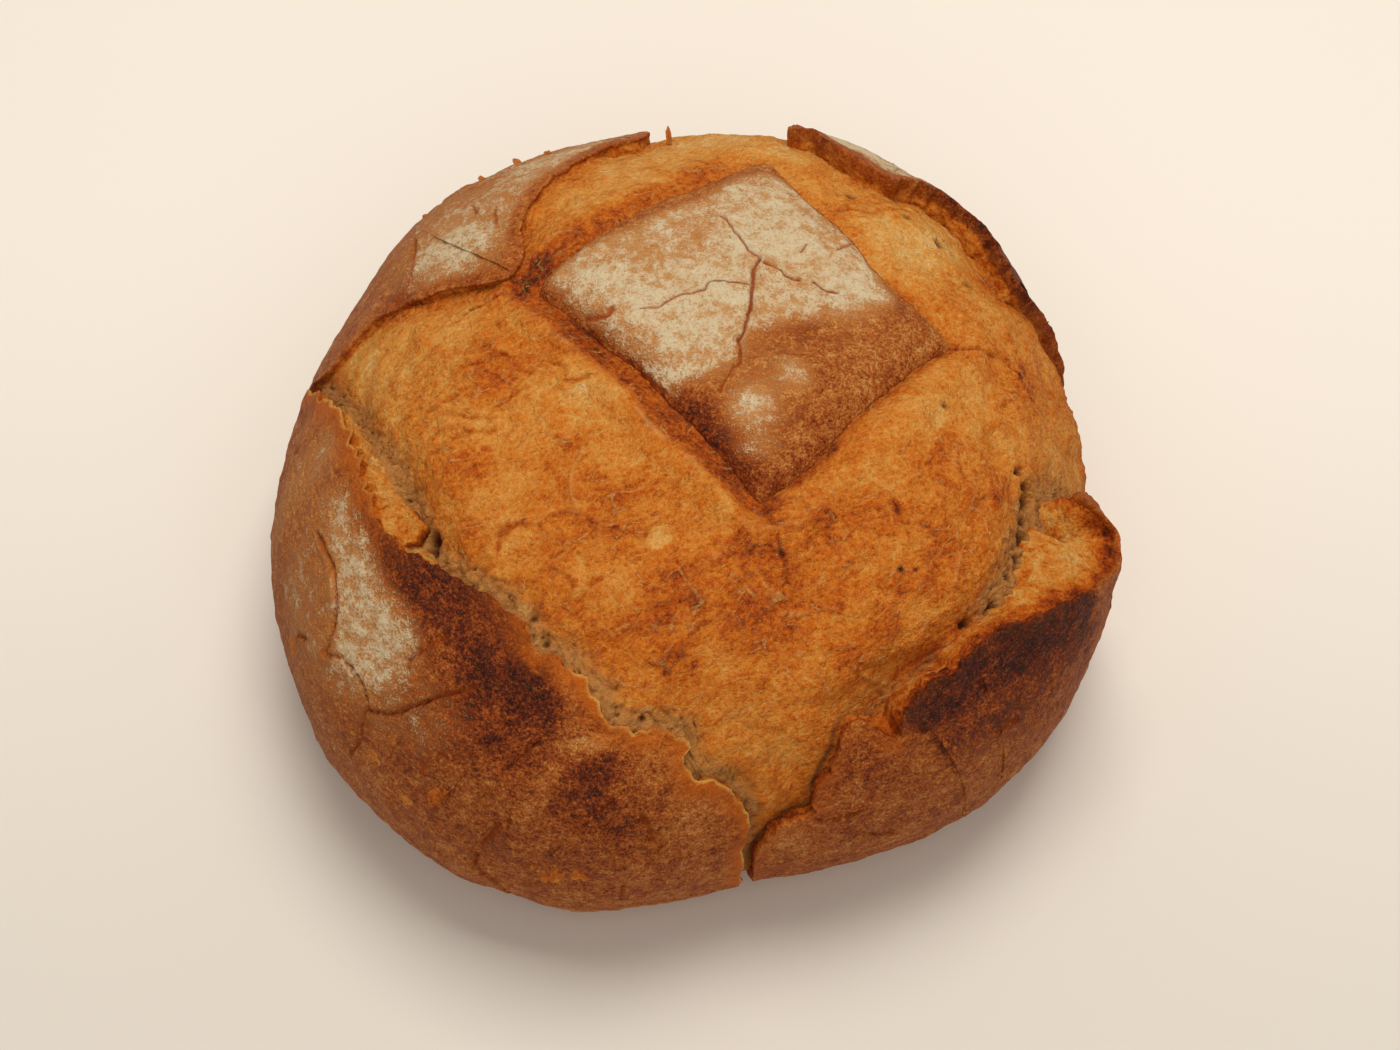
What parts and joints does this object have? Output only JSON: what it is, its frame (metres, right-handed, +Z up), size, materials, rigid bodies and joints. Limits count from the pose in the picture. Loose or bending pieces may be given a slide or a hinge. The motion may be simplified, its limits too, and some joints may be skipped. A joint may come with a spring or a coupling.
{
  "type": "country bread loaf",
  "caption": "Round country loaf with a burst, flour-dusted crust: torn flaps stand over golden crumb; it lies on its flat underside.",
  "frame": {"origin": "on the surface that the loaf rests on, on the upright axis of the round loaf, at the middle of its flat underside", "axes": "+Z up through the crown of the loaf, -Y towards the viewer of the picture, +X to the picture's right"},
  "size_m": [0.2455, 0.2483, 0.121],
  "materials": {
    "baked_crust": "baked bread crust, dry and matt, dusted with flour"
  },
  "bodies": {
    "root": {"loaf": "baked_crust"}
  },
  "joints": []
}
